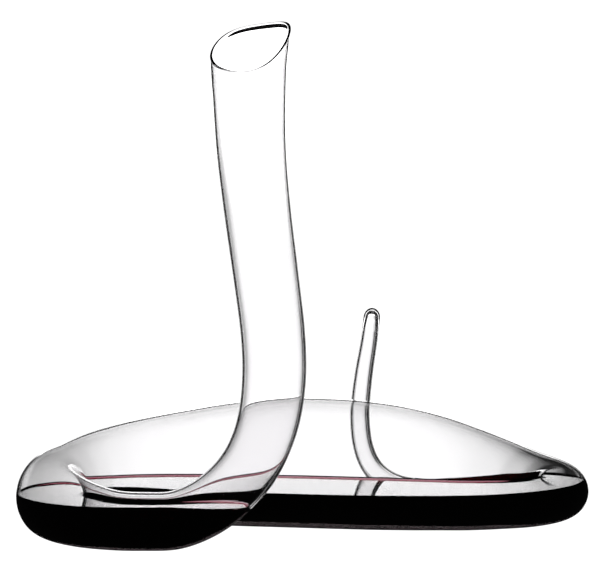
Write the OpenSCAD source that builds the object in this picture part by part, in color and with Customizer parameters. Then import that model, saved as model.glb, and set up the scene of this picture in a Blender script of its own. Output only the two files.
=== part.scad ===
// Serpentine wine decanter, blown from one tube of clear glass and holding one bottle of wine.
// The tube runs mouth, neck, throat, front limb, left bend, bowl, right bend, tail limb, tail.
// Axes: X along the bowl, the tall neck stands on the -Y side, Z up from the table.
// All sizes are millimetres.

/* [Overall] */
// length of the whole decanter along the bowl
overall_l = 408; // [320:1:500]
// height of the highest point of the mouth above the table
overall_h = 350; // [280:1:430]
// clear air between the front limb and the bowl
limb_gap = 17; // [10:0.5:30]
// clear air between the bowl and the tail limb
tail_gap = 17; // [10:0.5:30]

/* [Tube diameters] */
// outside of the bowl where it is fattest
bowl_d = 92.8; // [70:0.5:115]
// outside of the front limb where it lies on the table
throat_d = 38.6; // [28:0.1:48]
// outside of the neck at its waist
waist_d = 42.5; // [30:0.1:52]
// outside of the mouth
mouth_d = 52.3; // [38:0.1:66]
// outside of the tail limb behind the bowl
limb_d = 30; // [22:0.1:40]
// outside of the upright tail
tail_d = 12.4; // [10:0.1:17]

/* [Glass] */
// wall of the blown tube
wall_t = 1.5; // [1.2:0.05:2.6]
// extra glass in the fire polished lip
lip_extra = 0.1; // [0.05:0.05:1.5]
// glass between the end of the hollow and the top of the tail
tip_t = 3; // [2:0.1:6]
// how far the underside is pressed flat by the table
foot_sink = 0.6; // [0.3:0.05:1.2]

/* [Mouth] */
// rise of the cut mouth towards the right, per mm
cut_right = 0.35; // [0:0.01:0.6]
// rise of the cut mouth towards the back, per mm
cut_back = 0.7; // [0:0.01:0.9]
// how far the cut dips at its front and back
cut_dip = 4; // [0:0.1:6]
// how much more it dips on its right than in the middle
dip_right = 0.9; // [0:0.05:1]
// length of neck over which the slanted cut fades out
cut_fade = 62; // [40:1:100]

/* [Tail] */
// height of the top of the tail above the table
tail_h = 153; // [110:1:200]

/* [Wine] */
// height of the wine surface above the table
wine_z = 28.8; // [26:0.1:40]
// height of the wine inside the sealed tail, held down by the air trapped there
sealed_z = 23; // [22.6:0.1:25]
// film of clearance between the wine and the glass
wine_clear = 0.05; // [0.02:0.01:0.3]

/* [Hidden] */
steps = 3;                // rings between two stations
sides = 32;               // points round the tube
arc = 20;                 // points round the wine
drawn_l = 408;            // the stations below are drawn for these three sizes
drawn_h = 350;
drawn_tail = 153;
sx = overall_l / drawn_l;
sz = overall_h / drawn_h;
st = tail_h / drawn_tail;
behind = 1.3;             // stations past this place belong to the tail limb
upright = 1.88;           // place of the tail across the part
reach = throat_d / 2 + limb_gap + bowl_d / 2;
back = bowl_d / 2 + tail_gap + limb_d / 2;

// a place across the part: 0 the front limb, 1 the bowl, 2 the tail limb
function across(f) = f <= behind ? f * reach : reach + (f - 1) * back;
// a diameter part of the way from one drawn size to another
function grow(a, b, g) = a + (b - a) * g;

// stations are [x, y, z of the axis, width, height]
function up(x, z, d) = [x * sx, 0, z * sz, d, d];
function lie(x, f, w, h) = [x * sx, across(f), h / 2 - foot_sink, w, h];
function to_bowl(x, f, g, k) = lie(x, f, grow(throat_d, bowl_d, g), grow(throat_d, bowl_d, k));
function to_limb(x, f, g, k) = lie(x, f, grow(limb_d, bowl_d, g), grow(limb_d, bowl_d, k));
function to_tail(x, f, z, g) = let (d = grow(tail_d, limb_d, g)) [x * sx, across(f), z, d, d];
function rise(x, k, g) = let (d = grow(tail_d, limb_d, g)) [x * sx, across(upright), k * st, d, d];

neck_run = [
    up(-40.1, 334.8, mouth_d), up(-40.8, 309, grow(waist_d, mouth_d, 0.7)),
    up(-39.8, 268, grow(waist_d, mouth_d, 0.42)), up(-35.8, 226, grow(waist_d, mouth_d, 0.22)),
    up(-30.3, 183, grow(waist_d, mouth_d, 0.11)), up(-25.5, 142, grow(waist_d, mouth_d, 0.04)),
    up(-25.1, 109, waist_d), up(-30.6, 78, grow(throat_d, waist_d, 0.5)),
    up(-43.4, 52, grow(throat_d, waist_d, 0.1)), up(-64, 31.5, throat_d)];
front_run = [
    up(-88, 20, throat_d), to_bowl(-112, -0.01, 0, 0), to_bowl(-132, 0.02, 0.03, 0.02),
    to_bowl(-151, 0.12, 0.08, 0.1), to_bowl(-168, 0.31, 0.13, 0.2),
    to_bowl(-178.7, 0.56, 0.17, 0.29), to_bowl(-179.5, 0.82, 0.19, 0.36),
    to_bowl(-169, 1.04, 0.23, 0.42), to_bowl(-152.5, 1.2, 0.33, 0.53),
    to_bowl(-132, 1.27, 0.46, 0.63)];
bowl_run = [
    to_bowl(-110, 1.27, 0.61, 0.72), to_bowl(-86, 1.22, 0.78, 0.81),
    to_bowl(-54, 1.14, 0.93, 0.92), to_bowl(-17, 1.075, 1, 0.99), to_bowl(20, 1, 1, 0.99),
    to_bowl(54, 0.94, 0.94, 0.93), to_limb(83, 0.9, 0.85, 0.84), to_limb(109.5, 0.89, 0.72, 0.7),
    to_limb(132, 0.94, 0.58, 0.56)];
turn_run = [
    to_limb(151.5, 1.03, 0.44, 0.425), to_limb(168.2, 1.18, 0.32, 0.315),
    to_limb(179.6, 1.39, 0.22, 0.22), to_limb(184.6, 1.61, 0.15, 0.14),
    to_limb(179.4, 1.81, 0.09, 0.07), to_limb(166, 1.94, 0.03, 0.01)];
tail_run = [
    to_tail(148.5, 1.99, 13.6, 0.91), to_tail(128, 1.98, 12.6, 0.77), to_tail(105.5, 1.96, 13, 0.55),
    to_tail(84, 1.93, 14.2, 0.4), to_tail(63.5, 1.9, 19.4, 0.29), to_tail(48, 1.885, 31.2, 0.22),
    to_tail(39.8, 1.88, 49.5, 0.165), rise(37.5, 75, 0.135), rise(39.9, 102, 0.085),
    rise(44, 128, 0.02), rise(46.1, 146, 0)];
stations = concat(neck_run, front_run, bowl_run, turn_run, tail_run);
last = len(stations) - 1;

// where one worked stretch of the tube meets the next, as station numbers
at_throat = 6;
at_front = 10;
at_bend = 13;
at_bowl = 18;
at_turn = 27;
at_limb = 34;
at_tail = 41;
sill = 38;                // lowest point of the hollow before the tail, sealed by wine

// a smooth curve through the stations
function ends(i) = i < 0 ? 2 * stations[0] - stations[1]
    : i > last ? 2 * stations[last] - stations[last - 1] : stations[i];
function blend(a, b, c, d, t) = 0.5 * ((2 * b) + (c - a) * t + (2 * a - 5 * b + 4 * c - d) * t * t
    + (3 * b - a - 3 * c + d) * t * t * t);
path = [for (i = [0 : last * steps]) let (s = min(floor(i / steps), last - 1), t = i / steps - s)
    blend(ends(s - 1), ends(s), ends(s + 1), ends(s + 2), t)];
top = len(path) - 1;

// direction of the tube and the level direction across it, ring by ring
function spot(i) = [path[i][0], path[i][1], path[i][2]];
function unit(v) = v / norm(v);
heads = [for (i = [0 : top]) unit(spot(min(i + 1, top)) - spot(max(i - 1, 0)))];
steep = 0.45;             // a tube that runs less level than this keeps the last ring's direction
function level(t, was) = let (f = norm([t[0], t[1]]), l = [-t[1], t[0], 0],
    c = f > steep ? l : was - (was * t) * t) unit(c * was < 0 ? -c : c);
lefts = [for (i = 0, v = [0, -1, 0]; i <= top; i = i + 1,
    v = i <= top ? level(heads[i], v) : v) level(heads[i], v)];
ups = [for (i = [0 : top]) cross(heads[i], lefts[i])];

// how far each ring is from the mouth, measured along the tube
run = [for (i = 0, s = 0; i <= top; i = i + 1,
    s = i <= top ? s + norm(spot(i) - spot(i - 1)) : s) s];
function ease(k) = k <= 0 ? 0 : k >= 1 ? 1 : k * k * (3 - 2 * k);
function slant(i, v) = let (d = unit(v)) ease(1 - run[i] / cut_fade)
    * (cut_right * v[0] + cut_back * v[1] - cut_dip * d[1] * d[1] * (1 + dip_right * d[0]));

// one ring of the tube, a distance inside its outside, pushed back along the tube by drop
function ring(i, inset, floor_z = -2 * foot_sink, drop = 0, n = sides) = [for (j = [0 : n - 1])
    let (a = 360 * j / n, v = cos(a) * (path[i][3] / 2 - inset) * lefts[i]
        + sin(a) * (path[i][4] / 2 - inset) * ups[i],
        p = spot(i) + v - (slant(i, v) - drop) * heads[i]) [p[0], p[1], max(p[2], floor_z)]];
function outside(i) = ring(i, 0);
function inside(i) = ring(i, wall_t, wall_t);

// the middle of the whole part, so that it stands over the origin
rings = [for (i = [0 : top]) outside(i)];
low_x = min([for (r = rings) for (p = r) p[0]]);
high_x = max([for (r = rings) for (p = r) p[0]]);
low_y = min([for (r = rings) for (p = r) p[1]]);
high_y = max([for (r = rings) for (p = r) p[1]]);
mid = [(low_x + high_x) / 2, (low_y + high_y) / 2, 0];

// triangles between two rings of n points that start at a and b
function band(a, b, n) = [for (j = [0 : n - 1]) let (k = (j + 1) % n)
    each [[a + j, b + j, b + k], [a + j, b + k, a + k]]];

// a closed skin through a loop of rings
module loop_skin(list, n) {
    count = len(list);
    translate(-mid) polyhedron(points = [for (r = list) each r],
        faces = [for (i = [0 : count - 1]) each band(i * n, ((i + 1) % count) * n, n)]);
}

// a stretch of glass tube between two rings
module tube(a, b) {
    loop_skin(concat([for (i = [a : b]) outside(i)], [for (i = [b : -1 : a]) inside(i)]), sides);
}

// a stretch that lies on the table, pressed flat where it touches
module lying(a, b) {
    difference() {
        tube(a, b);
        translate([-overall_l, -overall_l, -overall_l])
            cube([2 * overall_l, 2 * overall_l, overall_l]);
    }
}

// the lip, thicker than the neck and rounded over by the flame
lip_from = steps;
module rim() {
    lip = wall_t + lip_extra;
    r = lip / 2;
    proud = lip_extra / 2;      // how far the lip stands out past the neck
    collar = lip_extra / 3;     // how far the neck has thickened one ring below it
    color([0.9, 0.95, 0.95, 0.4]) loop_skin(concat(
        [outside(lip_from)], [ring(1, -collar)],
        [for (a = [0 : 30 : 180]) ring(0, r - r * cos(a) - proud, 0, r - r * sin(a))],
        [ring(1, wall_t + collar / 2)], [inside(lip_from)]), sides);
}

// the tall neck with its slow bend
module neck() {
    color([0.86, 0.92, 0.94, 0.4]) tube(lip_from, at_throat * steps);
}

// the throat, turning from the neck down to the table
module throat() {
    color([0.8, 0.9, 0.94, 0.4]) lying(at_throat * steps, at_front * steps);
}

// the front limb, lying on the table
module front_limb() {
    color([0.84, 0.9, 0.9, 0.4]) lying(at_front * steps, at_bend * steps);
}

// the bend at the left, swelling towards the bowl
module left_bend() {
    color([0.78, 0.88, 0.92, 0.4]) lying(at_bend * steps, at_bowl * steps);
}

// the bowl, where the tube is fattest
module bowl() {
    color([0.86, 0.93, 0.95, 0.4]) lying(at_bowl * steps, at_turn * steps);
}

// the bend at the right, narrowing towards the tail
module right_bend() {
    color([0.78, 0.88, 0.92, 0.4]) lying(at_turn * steps, at_limb * steps);
}

// the tail limb, behind the bowl, lifting off the table
module tail_limb() {
    color([0.84, 0.9, 0.9, 0.4]) lying(at_limb * steps, at_tail * steps);
}

// the upright tail, hollow up to its tip
module tail() {
    color([0.8, 0.9, 0.94, 0.4]) tube(at_tail * steps, top);
}

// the sealed end of the tail, domed inside and out
module tail_tip() {
    r = tail_d / 2;
    q = r - wall_t;
    axis = spot(top) - mid;
    rise_out = tail_h - path[top][2];
    rise_in = rise_out - tip_t;
    hoop = concat([for (a = [0 : 15 : 75]) [a, 0]], [for (a = [75 : -15 : 0]) [a, 1]]);
    outs = [for (h = hoop) let (s = h[1] == 0 ? r : q, k = h[1] == 0 ? rise_out : rise_in)
        [for (j = [0 : sides - 1]) let (b = 360 * j / sides)
            spot(top) - mid + s * cos(h[0]) * (cos(b) * lefts[top] + sin(b) * ups[top])
            + k * sin(h[0]) * heads[top]]];
    n = sides;
    m = len(hoop);
    half = m / 2;
    pole_out = axis + rise_out * heads[top];
    pole_in = axis + rise_in * heads[top];
    color([0.7, 0.8, 0.85, 0.6]) polyhedron(
        points = concat([for (o = outs) each o], [pole_out, pole_in]),
        faces = concat([for (i = [0 : m - 1]) if (i != half - 1) each band(i * n, ((i + 1) % m) * n, n)],
            [for (j = [0 : n - 1]) [(half - 1) * n + j, m * n, (half - 1) * n + (j + 1) % n]],
            [for (j = [0 : n - 1]) [half * n + j, half * n + (j + 1) % n, m * n + 1]]));
}

// how full ring i is: -1 empty, 1 full to the top
wet = wall_t + wine_clear;
driest = -0.96;           // the wine ends at the last ring that is at least this full
fullest = 0.995;          // a full ring keeps a sliver of level surface
flattest = 0.02;          // keeps a ring that lies level from dividing by nothing
function wine_at(i) = i > sill * steps ? sealed_z : wine_z;
function fill(i) = (wine_at(i) - path[i][2]) / ((path[i][4] / 2 - wet) * max(ups[i][2], flattest));
wet_from = min([for (i = [0 : top]) if (run[i] > cut_fade && fill(i) > driest) i]);
wet_to = max([for (i = [wet_from : top]) if (fill(i) > driest) i]);

// the part of ring i that lies under the wine surface
function pool(i) = let (a = asin(max(driest, min(fullest, fill(i))))) [for (j = [0 : arc - 1])
    let (b = 180 - a + (180 + 2 * a) * j / (arc - 1),
        v = cos(b) * (path[i][3] / 2 - wet) * lefts[i] + sin(b) * (path[i][4] / 2 - wet) * ups[i],
        p = spot(i) + v) [p[0], p[1], max(min(p[2], wine_at(i)), wet)]];

// the wine, filling every hollow below its surface
module wine() {
    n = arc;
    m = wet_to - wet_from;
    color([0.35, 0.02, 0.08]) translate(-mid) polyhedron(
        points = [for (i = [wet_from : wet_to]) each pool(i)],
        faces = concat([for (i = [0 : m - 1]) each band(i * n, (i + 1) * n, n)],
            [for (j = [1 : n - 2]) [0, j, j + 1]],
            [for (j = [1 : n - 2]) [m * n, m * n + j + 1, m * n + j]]));
}

rim();
neck();
throat();
front_limb();
left_bend();
bowl();
right_bend();
tail_limb();
tail();
tail_tip();
wine();
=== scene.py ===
import bpy
import bmesh
import math
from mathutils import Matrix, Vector


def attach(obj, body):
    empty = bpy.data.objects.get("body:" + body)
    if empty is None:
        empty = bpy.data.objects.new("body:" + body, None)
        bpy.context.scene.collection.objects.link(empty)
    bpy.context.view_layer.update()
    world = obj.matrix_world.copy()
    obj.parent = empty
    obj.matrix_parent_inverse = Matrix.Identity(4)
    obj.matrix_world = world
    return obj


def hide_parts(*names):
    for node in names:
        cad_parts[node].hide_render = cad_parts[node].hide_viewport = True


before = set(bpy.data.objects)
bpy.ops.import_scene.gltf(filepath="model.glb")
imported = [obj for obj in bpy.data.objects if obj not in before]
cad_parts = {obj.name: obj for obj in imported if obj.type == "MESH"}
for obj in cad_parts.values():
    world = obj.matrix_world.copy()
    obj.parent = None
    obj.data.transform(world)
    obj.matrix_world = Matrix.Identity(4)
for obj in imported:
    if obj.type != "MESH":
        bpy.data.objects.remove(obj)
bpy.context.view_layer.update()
print("frame loaded")

mm = 0.001
scene = bpy.context.scene

# the camera stands level with the neck and looks a little down at the bowl
camera = {"aim": (-0.0075, -0.0631, 0.1720), "distance": 1.116, "rise": 0.0390, "lens": 100.8,
          "sensor": 36, "near": 0.01, "far": 30}
cameraData = bpy.data.cameras.new("camera")
cameraData.lens = camera["lens"]
cameraData.sensor_width = camera["sensor"]
cameraData.clip_start = camera["near"]
cameraData.clip_end = camera["far"]
cameraObject = bpy.data.objects.new("camera", cameraData)
scene.collection.objects.link(cameraObject)
aim = Vector(camera["aim"])
cameraObject.location = aim + Vector((0, -camera["distance"], camera["rise"]))
cameraObject.rotation_euler = (aim - cameraObject.location).to_track_quat("-Z", "Y").to_euler()
scene.camera = cameraObject
print("camera placed")


# the blown tube: the same driving sizes and stations as the solid model, in millimetres;
# middle is the centre of the solid model's outline, which it has at its origin
tube = {
    "throat": 38.6, "waist": 42.5, "mouth": 52.3, "bowl": 92.8, "limb": 30.0, "tail": 12.4,
    "limbGap": 17.0, "tailGap": 17.0, "wall": 1.5, "lipExtra": 0.1, "tipGlass": 3.0,
    "footSink": 0.6, "cutRight": 0.35, "cutBack": 0.7, "cutDip": 4.0, "dipRight": 0.9,
    "cutFade": 62.0, "tailHeight": 153.0,
    "behind": 1.3, "upright": 1.88, "steep": 0.45,
    "stepsPerStation": 10, "evenings": 20, "evenBy": (0.5, -0.51), "middle": (-0.1763, 74.1715),
}
reach = tube["throat"] / 2 + tube["limbGap"] + tube["bowl"] / 2
back = tube["bowl"] / 2 + tube["tailGap"] + tube["limb"] / 2


def across(f):
    return f * reach if f <= tube["behind"] else reach + (f - 1) * back


def grow(a, b, g):
    return tube[a] + (tube[b] - tube[a]) * g


def upRight(x, z, d):
    return (x, 0.0, z, d, d)


def lying(x, f, w, h):
    return (x, across(f), h / 2 - tube["footSink"], w, h)


def toBowl(x, f, g, k):
    return lying(x, f, grow("throat", "bowl", g), grow("throat", "bowl", k))


def toLimb(x, f, g, k):
    return lying(x, f, grow("limb", "bowl", g), grow("limb", "bowl", k))


def toTail(x, f, z, g):
    d = grow("tail", "limb", g)
    return (x, across(f), z, d, d)


def rise(x, z, g):
    return toTail(x, tube["upright"], z, g)


# stations are (x, y, z of the axis, width, height)
stations = [
    upRight(-40.1, 334.8, tube["mouth"]), upRight(-40.8, 309, grow("waist", "mouth", 0.7)),
    upRight(-39.8, 268, grow("waist", "mouth", 0.42)), upRight(-35.8, 226, grow("waist", "mouth", 0.22)),
    upRight(-30.3, 183, grow("waist", "mouth", 0.11)), upRight(-25.5, 142, grow("waist", "mouth", 0.04)),
    upRight(-25.1, 109, tube["waist"]), upRight(-30.6, 78, grow("throat", "waist", 0.5)),
    upRight(-43.4, 52, grow("throat", "waist", 0.1)), upRight(-64, 31.5, tube["throat"]),
    upRight(-88, 20, tube["throat"]), toBowl(-112, -0.01, 0, 0), toBowl(-132, 0.02, 0.03, 0.02),
    toBowl(-151, 0.12, 0.08, 0.1), toBowl(-168, 0.31, 0.13, 0.2), toBowl(-178.7, 0.56, 0.17, 0.29),
    toBowl(-179.5, 0.82, 0.19, 0.36), toBowl(-169, 1.04, 0.23, 0.42), toBowl(-152.5, 1.2, 0.33, 0.53),
    toBowl(-132, 1.27, 0.46, 0.63), toBowl(-110, 1.27, 0.61, 0.72), toBowl(-86, 1.22, 0.78, 0.81),
    toBowl(-54, 1.14, 0.93, 0.92), toBowl(-17, 1.075, 1, 0.99), toBowl(20, 1, 1, 0.99),
    toBowl(54, 0.94, 0.94, 0.93), toLimb(83, 0.9, 0.85, 0.84), toLimb(109.5, 0.89, 0.72, 0.7),
    toLimb(132, 0.94, 0.58, 0.56), toLimb(151.5, 1.03, 0.44, 0.425), toLimb(168.2, 1.18, 0.32, 0.315),
    toLimb(179.6, 1.39, 0.22, 0.22), toLimb(184.6, 1.61, 0.15, 0.14), toLimb(179.4, 1.81, 0.09, 0.07),
    toLimb(166, 1.94, 0.03, 0.01), toTail(148.5, 1.99, 13.6, 0.91), toTail(128, 1.98, 12.6, 0.77),
    toTail(105.5, 1.96, 13, 0.55), toTail(84, 1.93, 14.2, 0.4), toTail(63.5, 1.9, 19.4, 0.29),
    toTail(48, 1.885, 31.2, 0.22), toTail(39.8, 1.88, 49.5, 0.165), rise(37.5, 75, 0.135),
    rise(39.9, 102, 0.085), rise(44, 128, 0.02), rise(46.1, 146, 0)]


def curvePoint(a, b, c, d, t):
    return [0.5 * (2 * q + (r - p) * t + (2 * p - 5 * q + 4 * r - s) * t * t
                   + (3 * q - p - 3 * r + s) * t * t * t) for p, q, r, s in zip(a, b, c, d)]


def smoothPath():
    first, last = stations[0], stations[-1]
    ends = [[2 * a - b for a, b in zip(first, stations[1])]] + [list(s) for s in stations]
    ends += [[2 * a - b for a, b in zip(last, stations[-2])]]
    n = tube["stepsPerStation"]
    path = []
    for i in range(len(stations) - 1):
        path += [curvePoint(*ends[i:i + 4], k / n) for k in range(n)]
    path.append(list(last))
    for pull in tube["evenBy"] * tube["evenings"]:      # evens the bends out without shrinking them
        path = [path[0]] + [[q + pull * ((p + r) / 2 - q) for p, q, r in zip(a, b, c)]
                            for a, b, c in zip(path, path[1:], path[2:])] + [path[-1]]
    return path


# every ring of the outside, from the mouth to the end of the tail
def outerRings():
    path = smoothPath()
    middle = Vector((tube["middle"][0], tube["middle"][1], 0))
    centres = [Vector(p[:3]) - middle for p in path]
    top = len(path) - 1
    side = Vector((0, -1, 0))
    run = 0.0
    rings = []
    for i, centre in enumerate(centres):
        head = (centres[min(i + 1, top)] - centres[max(i - 1, 0)]).normalized()
        level = Vector((-head.y, head.x, 0))
        if level.length <= tube["steep"]:
            level = side - side.dot(head) * head
        side = level.normalized() * (-1 if level.dot(side) < 0 else 1)
        if i:
            run += (centre - centres[i - 1]).length
        fade = min(max(1 - run / tube["cutFade"], 0), 1)
        rings.append({"centre": centre, "side": side, "head": head, "up": head.cross(side), "run": run,
                      "wide": path[i][3] / 2, "high": path[i][4] / 2,
                      "slant": fade * fade * (3 - 2 * fade),
                      "floor": 0.0, "skin": 0.0, "beadOut": 0.0, "beadDown": 0.0})
    return rings


def ringInside(ring, inset, drop=0.0, floor=0.0, skin=0.0):
    made = dict(ring)
    made["wide"] = max(ring["wide"] - inset, 0)
    made["high"] = max(ring["high"] - inset, 0)
    made["centre"] = ring["centre"] + drop * ring["head"]
    made["floor"] = floor
    made["skin"] = skin
    return made


rings = outerRings()
print("tube path of", len(rings), "rings,", round(rings[-1]["run"]), "mm long")

# the glass: one skin from the end of the hollow, up the inside, over the lip and down the outside
lip = {"fade": 12.0, "arcSteps": 16, "bead": 1.55, "beadRight": 0.33, "beadBack": 0.94, "beadFocus": 4.0,
       "collar": (1.9, 2.3, 2.7, 3.0, 3.25, 3.4, 3.8, 4.4)}
tip = {"arcSteps": 9, "thicker": 1.1, "thickerOver": 17.0}


def lipSwell(ring):
    left = min(max(1 - ring["run"] / lip["fade"], 0), 1)
    return tube["lipExtra"] / 2 * left * left


# the hollow narrows to a pointed arch near the end of the tail
def tipSwell(ring):
    left = max(1 - (rings[-1]["run"] - ring["run"]) / tip["thickerOver"], 0)
    return tip["thicker"] * left * left


def domeRings(ring, inset, height, floor, skin):
    radius = ring["wide"] - inset
    made = []
    for k in range(1, tip["arcSteps"] + 1):
        a = math.pi / 2 * k / tip["arcSteps"]
        drawnIn = ring["wide"] - radius * math.cos(a)
        made.append(ringInside(ring, drawnIn, height * math.sin(a), floor, skin))
    made[-1]["wide"] = made[-1]["high"] = 0.0
    return made


# the ring at a given distance from the mouth
def ringAt(run):
    i = next(i for i, r in enumerate(rings) if r["run"] > run)
    a, b = rings[i - 1], rings[i]
    t = (run - a["run"]) / (b["run"] - a["run"])
    return {key: a[key] + t * (b[key] - a[key]) for key in a}


# how far the round bead at the back of the lip stands out past the wall
def beadProud(run):
    return max(math.sqrt(max(lip["bead"] ** 2 - (run - lip["bead"]) ** 2, 0)) - tube["wall"] / 2, 0)


def glassRings():
    wall = tube["wall"]
    riseOut = tube["tailHeight"] - rings[-1]["centre"].z
    below = [r for r in rings if r["run"] > lip["collar"][-1]]
    inner = [ringInside(r, wall + lipSwell(r) + tipSwell(r), 0, wall, 1) for r in below]
    outer = [ringInside(r, -lipSwell(r)) for r in below]
    half = (wall + tube["lipExtra"]) / 2
    grown = lip["bead"] - half
    over = []
    for run in lip["collar"][::-1]:
        r = ringAt(run)
        over.append(ringInside(r, wall + lipSwell(r)) | {"beadOut": -beadProud(run)})
    for k in range(lip["arcSteps"] + 1):
        a = math.pi * (1 - k / lip["arcSteps"])
        inset = half - half * math.cos(a) - tube["lipExtra"] / 2
        over.append(ringInside(rings[0], inset, half - half * math.sin(a))
                    | {"beadOut": grown * math.cos(a), "beadDown": grown * (1 - math.sin(a))})
    for run in lip["collar"]:
        r = ringAt(run)
        over.append(ringInside(r, -lipSwell(r)) | {"beadOut": beadProud(run)})
    innerDome = domeRings(rings[-1], wall + tip["thicker"], riseOut - tube["tipGlass"], wall, 1)
    return innerDome[::-1] + inner[::-1] + over + outer + domeRings(rings[-1], 0, riseOut, 0, 0)


def spineObject(name, ringList):
    mesh = bpy.data.meshes.new(name)
    mesh.from_pydata([r["centre"] * mm for r in ringList], [], [])
    for key in ("side", "up", "head"):
        layer = mesh.attributes.new(key, "FLOAT_VECTOR", "POINT")
        layer.data.foreach_set("vector", [c for r in ringList for c in r[key]])
    for key, scale in (("wide", mm), ("high", mm), ("floor", mm), ("slant", 1), ("skin", 1),
                       ("beadOut", mm), ("beadDown", mm)):
        layer = mesh.attributes.new(key, "FLOAT", "POINT")
        layer.data.foreach_set("value", [r[key] * scale for r in ringList])
    made = bpy.data.objects.new(name, mesh)
    scene.collection.objects.link(made)
    return made


# a small kit for laying out nodes
class NodeDesk:
    columns, stepAcross, stepDown = 9, 200, 220

    def __init__(self, tree):
        self.tree = tree
        self.count = 0

    def add(self, kind, inputs=None, **settings):
        node = self.tree.nodes.new(kind)
        line, column = divmod(self.count, self.columns)
        node.location = (self.stepAcross * column, -self.stepDown * line)
        self.count += 1
        for key, value in settings.items():
            setattr(node, key, value)
        for key, value in (inputs or {}).items():
            self.feed(node.inputs[key], value)
        return node

    def feed(self, socket, value):
        if isinstance(value, bpy.types.NodeSocket):
            self.tree.links.new(value, socket)
        else:
            socket.default_value = value

    def maths(self, operation, a, b=0.0):
        return self.add("ShaderNodeMath", {0: a, 1: b}, operation=operation).outputs[0]

    def vector(self, operation, a, b=(0, 0, 0)):
        node = self.add("ShaderNodeVectorMath", {0: a, 1: b}, operation=operation)
        return node.outputs["Value" if operation == "DOT_PRODUCT" else "Vector"]

    def scaled(self, a, amount):
        return self.add("ShaderNodeVectorMath", {0: a, "Scale": amount}, operation="SCALE").outputs[0]


def blankMaterial(name):
    material = bpy.data.materials.new(name)
    material.use_nodes = True
    material.node_tree.nodes.clear()
    return material, NodeDesk(material.node_tree)


def finishMaterial(desk, surface, volume=None):
    out = desk.add("ShaderNodeOutputMaterial")
    desk.feed(out.inputs["Surface"], surface)
    if volume is not None:
        desk.feed(out.inputs["Volume"], volume)


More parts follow.
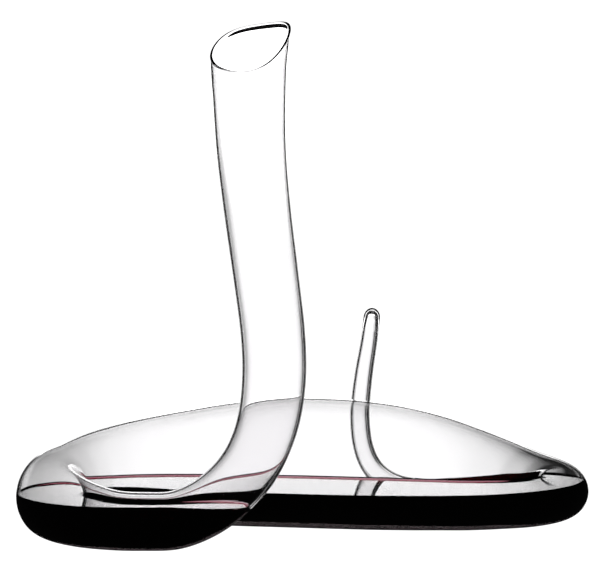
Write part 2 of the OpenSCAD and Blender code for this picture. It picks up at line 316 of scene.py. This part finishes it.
# a tree that lays a ring of points at every spine point and joins them into one skin
def sweepTree():
    tree = bpy.data.node_groups.new("tubeSweep", "GeometryNodeTree")
    face = tree.interface
    face.new_socket("Geometry", in_out="INPUT", socket_type="NodeSocketGeometry")
    face.new_socket("Points Round", in_out="INPUT", socket_type="NodeSocketInt")
    for name in ("Cut Right", "Cut Back", "Cut Dip", "Dip Right", "Bead Right", "Bead Back", "Bead Focus",
                 "Ripple", "Ripple Scale", "Skin Shift", "Seed", "Merge Under"):
        face.new_socket(name, in_out="INPUT", socket_type="NodeSocketFloat")
    face.new_socket("Material", in_out="INPUT", socket_type="NodeSocketMaterial")
    face.new_socket("Geometry", in_out="OUTPUT", socket_type="NodeSocketGeometry")
    desk = NodeDesk(tree)
    given = desk.add("NodeGroupInput").outputs
    spine = given["Geometry"]
    size = desk.add("GeometryNodeAttributeDomainSize", {0: spine}, component="MESH")
    row = desk.maths("ADD", given["Points Round"], 1)
    grid = desk.add("GeometryNodeMeshGrid", {"Vertices X": size.outputs["Point Count"],
                                             "Vertices Y": row})
    index = desk.add("GeometryNodeInputIndex").outputs[0]
    ring = desk.maths("FLOOR", desk.maths("DIVIDE", index, row))
    place = desk.maths("SUBTRACT", index, desk.maths("MULTIPLY", ring, row))
    turn = desk.maths("DIVIDE", desk.maths("MULTIPLY", place, 2 * math.pi), given["Points Round"])

    def sampled(name, kind):
        if name == "centre":
            value = desk.add("GeometryNodeInputPosition").outputs[0]
        else:
            value = desk.add("GeometryNodeInputNamedAttribute", {"Name": name},
                             data_type=kind).outputs[0]
        node = desk.add("GeometryNodeSampleIndex", data_type=kind, domain="POINT")
        desk.feed(node.inputs["Geometry"], spine)
        desk.feed(node.inputs["Value"], value)
        desk.feed(node.inputs["Index"], ring)
        return node.outputs["Value"]

    across = desk.maths("MULTIPLY", desk.maths("COSINE", turn), sampled("wide", "FLOAT"))
    above = desk.maths("MULTIPLY", desk.maths("SINE", turn), sampled("high", "FLOAT"))
    spoke = desk.vector("ADD", desk.scaled(sampled("side", "FLOAT_VECTOR"), across),
                        desk.scaled(sampled("up", "FLOAT_VECTOR"), above))
    cut = desk.add("ShaderNodeCombineXYZ", {"X": given["Cut Right"], "Y": given["Cut Back"]}).outputs[0]
    spokeParts = desk.add("ShaderNodeSeparateXYZ", {0: desk.vector("NORMALIZE", spoke)}).outputs
    sided = desk.maths("ADD", desk.maths("MULTIPLY", spokeParts["X"], given["Dip Right"]), 1.0)
    squared = desk.maths("MULTIPLY", spokeParts["Y"], spokeParts["Y"])
    dip = desk.maths("MULTIPLY", desk.maths("MULTIPLY", squared, sided), given["Cut Dip"])
    plane = desk.maths("SUBTRACT", desk.vector("DOT_PRODUCT", spoke, cut), dip)
    lean = desk.maths("MULTIPLY", plane, sampled("slant", "FLOAT"))
    leaned = desk.vector("SUBTRACT", spoke, desk.scaled(sampled("head", "FLOAT_VECTOR"), lean))
    beadWay = desk.add("ShaderNodeCombineXYZ", {"X": given["Bead Right"],
                                                "Y": given["Bead Back"]}).outputs[0]
    outward = desk.vector("NORMALIZE", spoke)
    facing = desk.maths("MAXIMUM", desk.vector("DOT_PRODUCT", outward, beadWay), 0.0)
    beadShare = desk.maths("POWER", facing, given["Bead Focus"])
    beadSide = desk.scaled(outward, desk.maths("MULTIPLY", sampled("beadOut", "FLOAT"), beadShare))
    beadDrop = desk.scaled(sampled("head", "FLOAT_VECTOR"),
                           desk.maths("MULTIPLY", sampled("beadDown", "FLOAT"), beadShare))
    beaded = desk.vector("ADD", leaned, desk.vector("ADD", beadSide, beadDrop))
    point = desk.vector("ADD", sampled("centre", "FLOAT_VECTOR"), beaded)
    shift = desk.maths("MULTIPLY", sampled("skin", "FLOAT"), given["Skin Shift"])
    phase = desk.maths("ADD", shift, given["Seed"])
    noise = desk.add("ShaderNodeTexNoise", {"Vector": point, "W": phase, "Scale": given["Ripple Scale"],
                                            "Detail": 1.0}, noise_dimensions="4D").outputs[0]
    swell = desk.maths("MULTIPLY", desk.maths("SUBTRACT", noise, 0.5), given["Ripple"])
    rippled = desk.vector("ADD", point, desk.scaled(outward, swell))
    parts = desk.add("ShaderNodeSeparateXYZ", {0: rippled}).outputs
    level = desk.maths("MAXIMUM", parts["Z"], sampled("floor", "FLOAT"))
    settled = desk.add("ShaderNodeCombineXYZ", {"X": parts["X"], "Y": parts["Y"], "Z": level}).outputs[0]
    moved = desk.add("GeometryNodeSetPosition", {"Geometry": grid.outputs["Mesh"], "Position": settled})
    merged = desk.add("GeometryNodeMergeByDistance", {"Geometry": moved.outputs[0],
                                                      "Distance": given["Merge Under"]})
    turned = desk.add("GeometryNodeFlipFaces", {0: merged.outputs[0]})
    smooth = desk.add("GeometryNodeSetShadeSmooth", {0: turned.outputs[0]})
    real = desk.add("GeometryNodeRealizeInstances", {0: smooth.outputs[0]})
    coated = desk.add("GeometryNodeSetMaterial", {"Geometry": real.outputs[0],
                                                  "Material": given["Material"]})
    out = desk.add("NodeGroupOutput")
    desk.feed(out.inputs[0], coated.outputs[0])
    return tree


def applyTree(target, tree, values):
    modifier = target.modifiers.new("sweep", "NODES")
    modifier.node_group = tree
    for item in tree.interface.items_tree:
        if item.item_type == "SOCKET" and item.in_out == "INPUT" and item.name in values:
            modifier[item.identifier] = values[item.name]
    bpy.context.view_layer.update()
    seen = target.evaluated_get(bpy.context.evaluated_depsgraph_get())
    mesh = bpy.data.meshes.new_from_object(seen)
    target.modifiers.clear()
    target.data = mesh


# the skin shift sets the ripple of the inside apart from that of the outside
glass = {"pointsRound": 96, "ripple": 0.00005, "rippleScale": 14.0, "skinShift": 7.0, "seed": 4.0,
         "mergeUnder": 0.000002, "ior": 1.5, "tint": (0.97, 0.94, 0.98), "tintDepth": 1.2,
         "waveScale": 9.0, "waveBump": 0.03, "faint": (0.990, 0.982, 0.992), "clear": (1, 1, 1),
         "streakScale": 60.0, "filmFrom": 0.62, "filmTo": 0.9, "filmRough": 0.02}


def glassMaterial():
    material, desk = blankMaterial("clearGlass")
    place = desk.add("ShaderNodeTexCoord").outputs["Object"]
    wave = desk.add("ShaderNodeTexNoise", {"Vector": place, "Scale": glass["waveScale"],
                                           "Detail": 2.0}).outputs[0]
    streaks = desk.add("ShaderNodeTexNoise", {"Vector": place, "Scale": glass["streakScale"],
                                              "Detail": 3.0, "Distortion": 0.4}).outputs[0]
    film = desk.add("ShaderNodeValToRGB", {0: streaks})
    film.color_ramp.elements[0].position = glass["filmFrom"]
    film.color_ramp.elements[1].position = glass["filmTo"]
    dull = desk.maths("MULTIPLY", film.outputs[0], glass["filmRough"])
    hue = desk.add("ShaderNodeValToRGB", {0: wave})
    hue.color_ramp.elements[0].color = (*glass["faint"], 1)
    hue.color_ramp.elements[1].color = (*glass["clear"], 1)
    bump = desk.add("ShaderNodeBump", {"Height": wave, "Strength": glass["waveBump"], "Distance": 0.002})
    shader = desk.add("ShaderNodeBsdfPrincipled", {"Base Color": hue.outputs[0], "Roughness": dull,
                                                   "Normal": bump.outputs[0], "IOR": glass["ior"],
                                                   "Transmission Weight": 1.0})
    soak = desk.add("ShaderNodeVolumeAbsorption", {"Color": (*glass["tint"], 1),
                                                   "Density": glass["tintDepth"]})
    finishMaterial(desk, shader.outputs[0], soak.outputs[0])
    return material


vessel = spineObject("decanter_glass", glassRings())
applyTree(vessel, sweepTree(), {
    "Points Round": glass["pointsRound"], "Cut Right": tube["cutRight"], "Cut Back": tube["cutBack"],
    "Cut Dip": tube["cutDip"] * mm, "Dip Right": tube["dipRight"],
    "Bead Right": lip["beadRight"], "Bead Back": lip["beadBack"], "Bead Focus": lip["beadFocus"],
    "Ripple": glass["ripple"], "Ripple Scale": glass["rippleScale"],
    "Skin Shift": glass["skinShift"], "Seed": glass["seed"],
    "Merge Under": glass["mergeUnder"], "Material": glassMaterial()})
glassNodes = ["rim", "neck", "throat", "front_limb", "left_bend", "bowl", "right_bend",
              "tail_limb", "tail", "tail_tip"]
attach(vessel, "root")
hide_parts(*glassNodes)
print("glass swept:", len(vessel.data.polygons), "faces")


# the wine fills the hollow up to its level, bites a hair into the wall and climbs it a little;
# past the sill station it is shut in the tail, where it stands lower
wine = {"level": 28.8, "sealedLevel": 23.0, "sill": 38, "bite": 0.15, "flattest": 0.02,
        "climb": 1.3, "climbWidth": 1.1, "climbFrom": 6.0, "wallPoints": 56, "surfacePoints": 36,
        "mergeUnder": 0.000003, "ior": 1.34, "colour": (0.68, 0.05, 0.20), "depth": 750.0,
        "stillScale": 12.0, "stillBump": 0.006, "deepHue": (0.93, 0.80, 0.84), "paleHue": (0.97, 0.88, 0.90)}


def wineRing(ring, surface):
    wide = ring["wide"] - tube["wall"] + wine["bite"]
    high = ring["high"] - tube["wall"] + wine["bite"]
    upright = max(ring["up"].z, wine["flattest"])
    deep = (surface - ring["centre"].z) / (high * upright)
    if deep <= -1:
        return None
    half = wide * math.sqrt(max(1 - min(deep, 1) ** 2, 0))
    climb = wine["climb"] * min(half / wine["climbFrom"], 1) ** 2
    contact = math.asin(min(deep + climb / (high * upright), 1.0))
    points = []
    for k in range(wine["wallPoints"]):
        a = math.pi - contact + (math.pi + 2 * contact) * k / (wine["wallPoints"] - 1)
        points.append((math.cos(a) * wide, math.sin(a) * high))
    edge = wide * math.cos(contact)
    for k in range(1, wine["surfacePoints"]):
        t = 2 * k / wine["surfacePoints"] - 1
        x = edge * math.sin(t * math.pi / 2)
        far = (edge - abs(x)) / wine["climbWidth"]
        rise = (deep * high * upright if deep < 1 else high * upright) + climb * math.exp(-far)
        points.append((-x, min(rise / upright, high)))
    made = []
    for x, y in points:
        p = ring["centre"] + x * ring["side"] + y * ring["up"]
        p.z = max(p.z, tube["wall"] - wine["bite"])
        made.append(p * mm)
    return made


def wineMesh():
    sections = []
    started = False
    sill = wine["sill"] * tube["stepsPerStation"]
    for i, ring in enumerate(rings):
        if ring["run"] < tube["cutFade"]:
            continue
        section = wineRing(ring, wine["sealedLevel"] if i > sill else wine["level"])
        if section:
            sections.append(section)
            started = True
        elif started:
            break
    n = len(sections[0])
    points = [p for s in sections for p in s]
    faces = []
    for i in range(len(sections) - 1):
        for k in range(n):
            a, b = i * n + k, i * n + (k + 1) % n
            faces.append((a, b, b + n, a + n))
    for start, turn in ((0, 1), ((len(sections) - 1) * n, -1)):
        middle = sum((points[start + k] for k in range(n)), Vector()) / n
        points.append(middle)
        for k in range(n):
            faces.append((len(points) - 1, start + (k + 1) % n, start + k)[::turn])
    mesh = bpy.data.meshes.new("poured_wine")
    mesh.from_pydata(points, [], faces)
    mesh.update()
    return mesh


def closeUp(mesh, distance):
    work = bmesh.new()
    work.from_mesh(mesh)
    bmesh.ops.remove_doubles(work, verts=work.verts, dist=distance)
    bmesh.ops.recalc_face_normals(work, faces=work.faces)
    for f in work.faces:
        f.smooth = True
    work.to_mesh(mesh)
    work.free()


def wineMaterial():
    material, desk = blankMaterial("redWine")
    place = desk.add("ShaderNodeTexCoord").outputs["Object"]
    still = desk.add("ShaderNodeTexNoise", {"Vector": place, "Scale": wine["stillScale"],
                                            "Detail": 1.0}).outputs[0]
    bump = desk.add("ShaderNodeBump", {"Height": still, "Strength": wine["stillBump"], "Distance": 0.001})
    hue = desk.add("ShaderNodeValToRGB", {0: still})
    hue.color_ramp.elements[0].color = (*wine["deepHue"], 1)
    hue.color_ramp.elements[1].color = (*wine["paleHue"], 1)
    shader = desk.add("ShaderNodeBsdfPrincipled", {"Base Color": hue.outputs[0], "Roughness": 0.0,
                                                   "IOR": wine["ior"], "Normal": bump.outputs[0],
                                                   "Transmission Weight": 1.0})
    soak = desk.add("ShaderNodeVolumeAbsorption", {"Color": (*wine["colour"], 1),
                                                   "Density": wine["depth"]})
    finishMaterial(desk, shader.outputs[0], soak.outputs[0])
    return material


pouredMesh = wineMesh()
closeUp(pouredMesh, wine["mergeUnder"])
poured = bpy.data.objects.new("poured_wine", pouredMesh)
scene.collection.objects.link(poured)
pouredMesh.materials.append(wineMaterial())
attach(poured, "root")
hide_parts("wine")
print("wine poured:", len(pouredMesh.polygons), "faces")


# the studio: two white cards behind the glass, a pale wall and floor, and dark all round
studio = {"card": 1.42, "cardTop": 0.94, "cardBelow": 0.95, "cardAway": 5.0,
          "lowLight": 1.28, "highLight": 2.6, "lowAt": 0.15, "highAt": 0.55, "edge": 0.1,
          "narrowBelow": -0.22, "wideAbove": -0.04, "rightLift": 0.16, "liftFrom": 0.2, "liftTo": 0.5,
          "wideFallAt": (0.5, 0.85), "wideFall": 0.6, "lowCard": 4.6, "lowCardLight": 0.75,
          "wall": 1.2, "wallAway": 5.2, "floor": 4.0, "floorBelow": 0.0003, "floorLight": 1.15,
          "dark": 0.004, "clearBounces": 32, "glossyBounces": 12, "passBounces": 16}
# how bright the lower part of the card is at each place across it
studio["sideFall"] = ((-1.4, 1.0), (-1.1, 0.9), (-1.0, 0.55), (-0.84, 0.52), (-0.72, 0.62),
                      (-0.6, 0.81), (-0.45, 0.95), (-0.3, 1.0), (0.3, 1.0), (0.45, 0.93),
                      (0.6, 0.78), (0.72, 0.55), (0.8, 0.3), (0.9, 0.02), (1.12, 0.04), (1.35, 0.9))


def glowMaterial(name, strength):
    material, desk = blankMaterial(name)
    glow = desk.add("ShaderNodeEmission", {"Color": (1, 1, 1, 1), "Strength": strength})
    finishMaterial(desk, glow.outputs[0])
    return material


# the card glows more strongly towards its top, and low down it is narrower than above
def cardMaterial():
    material, desk = blankMaterial("whiteCard")
    parts = desk.add("ShaderNodeSeparateXYZ", {0: desk.add("ShaderNodeTexCoord").outputs["Object"]}).outputs
    fromMiddle = desk.maths("ABSOLUTE", parts["X"])
    level = desk.add("ShaderNodeMapRange", {
        "Value": parts["Y"], "From Min": studio["lowAt"], "From Max": studio["highAt"],
        "To Min": studio["lowLight"], "To Max": studio["highLight"]},
        interpolation_type="SMOOTHSTEP").outputs[0]
    edge = desk.maths("SUBTRACT", studio["cardTop"], parts["Y"])
    side = desk.maths("SUBTRACT", studio["card"], fromMiddle)
    fall = desk.add("ShaderNodeMapRange", {
        "Value": desk.maths("MINIMUM", edge, side), "From Min": 0.0, "From Max": studio["edge"]},
        interpolation_type="SMOOTHSTEP").outputs[0]
    along = desk.add("ShaderNodeMapRange", {"Value": parts["X"], "From Min": -studio["card"],
                                            "From Max": studio["card"]}).outputs[0]
    ramp = desk.add("ShaderNodeValToRGB", {0: along})
    while len(ramp.color_ramp.elements) < len(studio["sideFall"]):
        ramp.color_ramp.elements.new(0.5)
    for stop, (place, value) in zip(ramp.color_ramp.elements, studio["sideFall"]):
        stop.position = 0.5 + 0.5 * place / studio["card"]
        stop.color = (value, value, value, 1)
    lift = desk.add("ShaderNodeMapRange", {
        "Value": parts["X"], "From Min": studio["liftFrom"], "From Max": studio["liftTo"],
        "To Min": 0.0, "To Max": studio["rightLift"]}).outputs[0]
    wide = desk.add("ShaderNodeMapRange", {
        "Value": fromMiddle, "From Min": studio["wideFallAt"][0], "From Max": studio["wideFallAt"][1],
        "To Min": 1.0, "To Max": studio["wideFall"]}).outputs[0]
    narrow = desk.add("ShaderNodeMapRange", {
        "Value": desk.maths("SUBTRACT", parts["Y"], lift), "From Min": studio["narrowBelow"],
        "From Max": studio["wideAbove"], "To Min": ramp.outputs[0], "To Max": wide},
        interpolation_type="SMOOTHSTEP").outputs[0]
    strength = desk.maths("MULTIPLY", desk.maths("MULTIPLY", level, fall), narrow)
    finishMaterial(desk, desk.add("ShaderNodeEmission", {"Strength": strength}).outputs[0])
    return material


def flatCard(name, halfWide, low, high, material):
    mesh = bpy.data.meshes.new(name)
    corners = [(-halfWide, low, 0), (halfWide, low, 0), (halfWide, high, 0), (-halfWide, high, 0)]
    mesh.from_pydata(corners, [], [(0, 1, 2, 3)])
    mesh.materials.append(material)
    card = bpy.data.objects.new(name, mesh)
    scene.collection.objects.link(card)
    return card


def carry(card, away):
    card.parent = cameraObject
    card.location = (0, 0, -away)


# the cards and the wall are carried by the camera, as on a turntable,
# so every side of the glass is seen against them
lightCard = flatCard("light_card", studio["card"], -studio["cardBelow"], studio["cardTop"], cardMaterial())
carry(lightCard, studio["cardAway"])
lightCard.visible_camera = False
lowCard = flatCard("low_card", studio["card"], -studio["lowCard"], -studio["cardBelow"],
                   glowMaterial("dimCard", studio["lowCardLight"]))
# it shines through the edge of the wine, and the outer face of the glass does not mirror it
carry(lowCard, studio["cardAway"])
lowCard.visible_camera = lowCard.visible_glossy = False
wall = flatCard("back_wall", studio["wall"], -studio["wall"], studio["wall"],
                glowMaterial("whiteWall", studio["floorLight"]))
carry(wall, studio["wallAway"])
wall.visible_glossy = wall.visible_transmission = wall.visible_diffuse = False
floor = flatCard("floor", studio["floor"], -studio["floor"], studio["floor"],
                 glowMaterial("paleFloor", studio["floorLight"]))
floor.location = (0, 0, -studio["floorBelow"])
floor.visible_glossy = False
floor.visible_transmission = False      # the card shows through the glass instead
world = bpy.data.worlds.new("studio")
world.use_nodes = True
world.node_tree.nodes["Background"].inputs[0].default_value = (studio["dark"],) * 3 + (1,)
scene.world = world
scene.view_settings.view_transform = "Standard"
scene.cycles.max_bounces = studio["clearBounces"]
scene.cycles.transmission_bounces = studio["clearBounces"]
scene.cycles.glossy_bounces = studio["glossyBounces"]
scene.cycles.transparent_max_bounces = studio["passBounces"]
print("studio lit")
